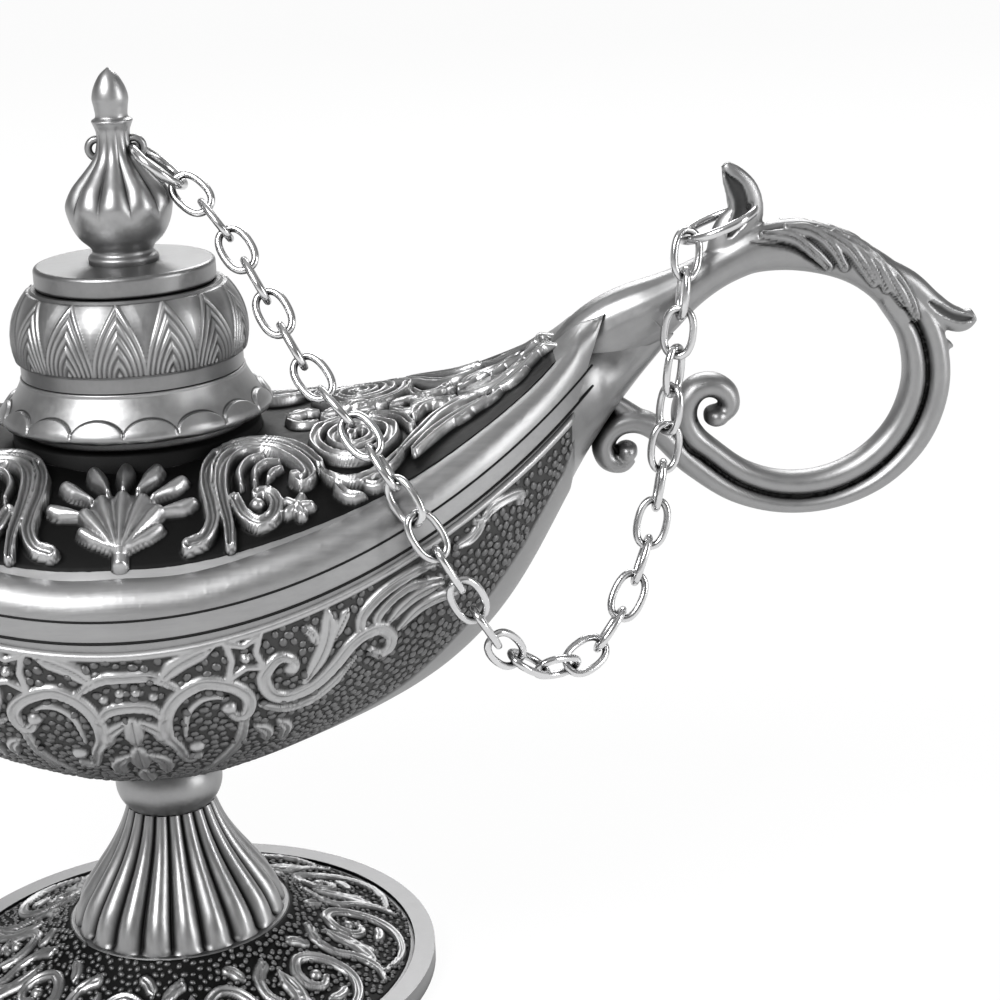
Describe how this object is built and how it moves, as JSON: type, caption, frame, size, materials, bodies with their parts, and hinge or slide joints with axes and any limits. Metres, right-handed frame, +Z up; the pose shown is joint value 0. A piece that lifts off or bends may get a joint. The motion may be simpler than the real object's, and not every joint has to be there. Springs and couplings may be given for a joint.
{
  "type": "genie oil lamp",
  "caption": "Boat-shaped oil lamp on a fluted foot, with a pierced cover, long spout, scroll handle and a lift-off lid tethered to the handle by a fine chain.",
  "frame": {"origin": "centre of the felt pad's lower face, on the surface the lamp stands on", "axes": "+Z up, +X from the spout towards the handle, -Y towards the side the chain hangs on"},
  "size_m": [0.1956, 0.061, 0.1075],
  "materials": {
    "pewter": "antique pewter plate, dark in the recesses and rubbed bright on the high points",
    "chain_steel": "polished nickel-plated wire",
    "steel": "plain turned steel",
    "brass": "drawn tube, dull",
    "felt": "black wool felt",
    "cotton": "braided cotton"
  },
  "bodies": {
    "lamp": {"base_pad": "felt", "foot": "pewter", "stem": "pewter", "knop": "pewter", "centre_bolt": "steel", "bolt_washer": "steel", "bowl": "pewter", "wick_tube": "brass", "wick": "cotton", "cover": "pewter", "cover_pins": "steel", "collar": "pewter", "clinch_ring": "steel", "handle": "pewter"},
    "lid_group": {"lid": "pewter", "lid_cap": "pewter", "finial": "pewter", "finial_screw": "steel", "finial_washer": "steel"},
    "finial_ring": {"finial_ring": "chain_steel"},
    "ear_ring": {"ear_ring": "chain_steel"},
    "chain_link_01": {"chain_link_01": "chain_steel"},
    "chain_link_02": {"chain_link_02": "chain_steel"},
    "chain_link_03": {"chain_link_03": "chain_steel"},
    "chain_link_04": {"chain_link_04": "chain_steel"},
    "chain_link_05": {"chain_link_05": "chain_steel"},
    "chain_link_06": {"chain_link_06": "chain_steel"},
    "chain_link_07": {"chain_link_07": "chain_steel"},
    "chain_link_08": {"chain_link_08": "chain_steel"},
    "chain_link_09": {"chain_link_09": "chain_steel"},
    "chain_link_10": {"chain_link_10": "chain_steel"},
    "chain_link_11": {"chain_link_11": "chain_steel"},
    "chain_link_12": {"chain_link_12": "chain_steel"},
    "chain_link_13": {"chain_link_13": "chain_steel"},
    "chain_link_14": {"chain_link_14": "chain_steel"},
    "chain_link_15": {"chain_link_15": "chain_steel"},
    "chain_link_16": {"chain_link_16": "chain_steel"},
    "chain_link_17": {"chain_link_17": "chain_steel"},
    "chain_link_18": {"chain_link_18": "chain_steel"},
    "chain_link_19": {"chain_link_19": "chain_steel"},
    "chain_link_20": {"chain_link_20": "chain_steel"},
    "chain_link_21": {"chain_link_21": "chain_steel"},
    "chain_link_22": {"chain_link_22": "chain_steel"},
    "chain_link_23": {"chain_link_23": "chain_steel"},
    "chain_link_24": {"chain_link_24": "chain_steel"},
    "chain_link_25": {"chain_link_25": "chain_steel"},
    "chain_link_26": {"chain_link_26": "chain_steel"},
    "chain_link_27": {"chain_link_27": "chain_steel"},
    "chain_link_28": {"chain_link_28": "chain_steel"},
    "chain_link_29": {"chain_link_29": "chain_steel"},
    "chain_link_30": {"chain_link_30": "chain_steel"}
  },
  "joints": [
    {"name": "lid_lift", "type": "slide", "parent": "lamp", "child": "lid_group", "axis": [0, 0, 1], "range_m": [0, 0.02]},
    {"name": "finial_ring_swing", "type": "hinge", "parent": "lid_group", "child": "finial_ring", "pos_m": [0.0021, 0, 0.0989], "axis": [0, 1, 0], "range_deg": [-21.17, 0]},
    {"name": "link_01_swing", "type": "hinge", "parent": "finial_ring", "child": "chain_link_01", "pos_m": [0.0071, -0.00076, 0.09466], "axis": [0.4981, 0.839, -0.219], "range_deg": [0, 32.8]},
    {"name": "link_02_swing", "type": "hinge", "parent": "chain_link_01", "child": "chain_link_02", "pos_m": [0.00912, -0.00248, 0.0929], "axis": [-0.1984, -0.8337, 0.5154], "range_deg": [0, 3]},
    {"name": "link_03_swing", "type": "hinge", "parent": "chain_link_02", "child": "chain_link_03", "pos_m": [0.01148, -0.00473, 0.09017], "axis": [0.8637, 0.1325, 0.4863], "range_deg": [-3, 0]},
    {"name": "link_04_swing", "type": "hinge", "parent": "chain_link_03", "child": "chain_link_04", "pos_m": [0.01352, -0.00704, 0.08723], "axis": [-0.1534, -0.83, 0.5362], "range_deg": [-6.04, 0]},
    {"name": "link_05_swing", "type": "hinge", "parent": "chain_link_04", "child": "chain_link_05", "pos_m": [0.01535, -0.00936, 0.08417], "axis": [0.9002, 0.1145, 0.4201], "range_deg": [-6.85, 0]},
    {"name": "link_06_swing", "type": "hinge", "parent": "chain_link_05", "child": "chain_link_06", "pos_m": [0.0171, -0.01164, 0.08103], "axis": [-0.1458, -0.8409, 0.5212], "range_deg": [-4.16, 0]},
    {"name": "link_07_swing", "type": "hinge", "parent": "chain_link_06", "child": "chain_link_07", "pos_m": [0.01891, -0.01388, 0.0779], "axis": [0.8347, 0.1448, 0.5313], "range_deg": [0, 3]},
    {"name": "link_08_swing", "type": "hinge", "parent": "chain_link_07", "child": "chain_link_08", "pos_m": [0.02108, -0.01614, 0.07503], "axis": [-0.2306, -0.8215, 0.5216], "range_deg": [0, 4.13]},
    {"name": "link_09_swing", "type": "hinge", "parent": "chain_link_08", "child": "chain_link_09", "pos_m": [0.02358, -0.01845, 0.07247], "axis": [0.815, 0.1524, 0.5591], "range_deg": [-4.98, 0]},
    {"name": "link_10_swing", "type": "hinge", "parent": "chain_link_09", "child": "chain_link_10", "pos_m": [0.02589, -0.02089, 0.06986], "axis": [-0.3038, -0.8441, 0.4417], "range_deg": [-3, 0]},
    {"name": "link_11_swing", "type": "hinge", "parent": "chain_link_10", "child": "chain_link_11", "pos_m": [0.02787, -0.02325, 0.06692], "axis": [0.6147, -0.4964, 0.613], "range_deg": [0, 3]},
    {"name": "link_12_swing", "type": "hinge", "parent": "chain_link_11", "child": "chain_link_12", "pos_m": [0.02994, -0.02493, 0.0636], "axis": [-0.804, -0.439, -0.4011], "range_deg": [0, 25.64]},
    {"name": "ear_ring_swing", "type": "hinge", "parent": "lamp", "child": "ear_ring", "pos_m": [0.0684, 0, 0.0892], "axis": [0, 1, 0], "range_deg": [0, 12.55]},
    {"name": "link_30_swing", "type": "hinge", "parent": "ear_ring", "child": "chain_link_30", "pos_m": [0.06131, -0.00409, 0.08658], "axis": [-0.4403, 0.8793, -0.1814], "range_deg": [0, 18.18]},
    {"name": "link_29_swing", "type": "hinge", "parent": "chain_link_30", "child": "chain_link_29", "pos_m": [0.06071, -0.00521, 0.08266], "axis": [-0.8895, -0.3889, 0.24], "range_deg": [-3, 0]},
    {"name": "link_28_swing", "type": "hinge", "parent": "chain_link_29", "child": "chain_link_28", "pos_m": [0.06011, -0.00581, 0.07849], "axis": [-0.0883, 0.9857, -0.1437], "range_deg": [-6.77, 0]},
    {"name": "link_27_swing", "type": "hinge", "parent": "chain_link_28", "child": "chain_link_27", "pos_m": [0.0595, -0.00613, 0.07429], "axis": [-0.9535, 0.2782, 0.1157], "range_deg": [-20.45, 0]},
    {"name": "link_26_swing", "type": "hinge", "parent": "chain_link_27", "child": "chain_link_26", "pos_m": [0.0589, -0.00642, 0.07009], "axis": [0.5764, 0.8053, -0.139], "range_deg": [-35.76, 0]},
    {"name": "link_25_swing", "type": "hinge", "parent": "chain_link_26", "child": "chain_link_25", "pos_m": [0.05829, -0.00685, 0.0659], "axis": [-0.5624, 0.8268, -0.0005], "range_deg": [0, 26.82]},
    {"name": "link_24_swing", "type": "hinge", "parent": "chain_link_25", "child": "chain_link_24", "pos_m": [0.0576, -0.00742, 0.06174], "axis": [0.9543, 0.2319, -0.1883], "range_deg": [0, 3]},
    {"name": "link_23_swing", "type": "hinge", "parent": "chain_link_24", "child": "chain_link_23", "pos_m": [0.05672, -0.00817, 0.05765], "axis": [0.0177, 0.9835, -0.1798], "range_deg": [-16.86, 0]},
    {"name": "link_22_swing", "type": "hinge", "parent": "chain_link_23", "child": "chain_link_22", "pos_m": [0.05553, -0.0092, 0.05369], "axis": [0.9626, -0.0712, -0.2614], "range_deg": [-20.23, 0]},
    {"name": "link_21_swing", "type": "hinge", "parent": "chain_link_22", "child": "chain_link_21", "pos_m": [0.05395, -0.01052, 0.04997], "axis": [-0.0218, 0.9483, -0.3166], "range_deg": [0, 3]},
    {"name": "link_20_swing", "type": "hinge", "parent": "chain_link_21", "child": "chain_link_20", "pos_m": [0.05195, -0.01204, 0.04653], "axis": [0.8861, -0.1219, -0.4471], "range_deg": [-11.84, 0]},
    {"name": "link_19_swing", "type": "hinge", "parent": "chain_link_20", "child": "chain_link_19", "pos_m": [0.04937, -0.01385, 0.04367], "axis": [-0.1358, 0.8938, -0.4274], "range_deg": [-3.34, 0]},
    {"name": "link_18_swing", "type": "hinge", "parent": "chain_link_19", "child": "chain_link_18", "pos_m": [0.04597, -0.01617, 0.04252], "axis": [0.5438, -0.3446, -0.7652], "range_deg": [0, 34.15]},
    {"name": "link_17_swing", "type": "hinge", "parent": "chain_link_18", "child": "chain_link_17", "pos_m": [0.04257, -0.01855, 0.04357], "axis": [-0.4839, 0.4391, -0.757], "range_deg": [0, 22.46]},
    {"name": "link_16_swing", "type": "hinge", "parent": "chain_link_17", "child": "chain_link_16", "pos_m": [0.03973, -0.02077, 0.04584], "axis": [0.3918, -0.8468, -0.3598], "range_deg": [-12.87, 0]},
    {"name": "link_15_swing", "type": "hinge", "parent": "chain_link_16", "child": "chain_link_15", "pos_m": [0.03757, -0.02273, 0.04895], "axis": [-0.729, -0.18, -0.6604], "range_deg": [-26.63, 0]},
    {"name": "link_14_swing", "type": "hinge", "parent": "chain_link_15", "child": "chain_link_14", "pos_m": [0.0358, -0.02429, 0.05249], "axis": [0.3046, -0.9155, -0.2628], "range_deg": [0, 3]},
    {"name": "link_13_swing", "type": "hinge", "parent": "chain_link_14", "child": "chain_link_13", "pos_m": [0.03405, -0.02536, 0.05622], "axis": [-0.8817, -0.1241, -0.4552], "range_deg": [0, 3]}
  ],
  "couplings": [
    {"joint": "finial_ring_swing", "follows": "lid_lift", "rad_per_m": -18.474},
    {"joint": "link_01_swing", "follows": "lid_lift", "rad_per_m": 28.623},
    {"joint": "link_02_swing", "follows": "lid_lift", "rad_per_m": 2.618},
    {"joint": "link_03_swing", "follows": "lid_lift", "rad_per_m": -2.618},
    {"joint": "link_04_swing", "follows": "lid_lift", "rad_per_m": -5.2709},
    {"joint": "link_05_swing", "follows": "lid_lift", "rad_per_m": -5.9778},
    {"joint": "link_06_swing", "follows": "lid_lift", "rad_per_m": -3.6303},
    {"joint": "link_07_swing", "follows": "lid_lift", "rad_per_m": 2.618},
    {"joint": "link_08_swing", "follows": "lid_lift", "rad_per_m": 3.6041},
    {"joint": "link_09_swing", "follows": "lid_lift", "rad_per_m": -4.3459},
    {"joint": "link_10_swing", "follows": "lid_lift", "rad_per_m": -2.618},
    {"joint": "link_11_swing", "follows": "lid_lift", "rad_per_m": 2.618},
    {"joint": "link_12_swing", "follows": "lid_lift", "rad_per_m": 22.375},
    {"joint": "ear_ring_swing", "follows": "lid_lift", "rad_per_m": 10.952},
    {"joint": "link_30_swing", "follows": "lid_lift", "rad_per_m": 15.865},
    {"joint": "link_29_swing", "follows": "lid_lift", "rad_per_m": -2.618},
    {"joint": "link_28_swing", "follows": "lid_lift", "rad_per_m": -5.9079},
    {"joint": "link_27_swing", "follows": "lid_lift", "rad_per_m": -17.846},
    {"joint": "link_26_swing", "follows": "lid_lift", "rad_per_m": -31.206},
    {"joint": "link_25_swing", "follows": "lid_lift", "rad_per_m": 23.405},
    {"joint": "link_24_swing", "follows": "lid_lift", "rad_per_m": 2.618},
    {"joint": "link_23_swing", "follows": "lid_lift", "rad_per_m": -14.713},
    {"joint": "link_22_swing", "follows": "lid_lift", "rad_per_m": -17.654},
    {"joint": "link_21_swing", "follows": "lid_lift", "rad_per_m": 2.618},
    {"joint": "link_20_swing", "follows": "lid_lift", "rad_per_m": -10.332},
    {"joint": "link_19_swing", "follows": "lid_lift", "rad_per_m": -2.9147},
    {"joint": "link_18_swing", "follows": "lid_lift", "rad_per_m": 29.801},
    {"joint": "link_17_swing", "follows": "lid_lift", "rad_per_m": 19.6},
    {"joint": "link_16_swing", "follows": "lid_lift", "rad_per_m": -11.231},
    {"joint": "link_15_swing", "follows": "lid_lift", "rad_per_m": -23.239},
    {"joint": "link_14_swing", "follows": "lid_lift", "rad_per_m": 2.618},
    {"joint": "link_13_swing", "follows": "lid_lift", "rad_per_m": 2.618}
  ]
}
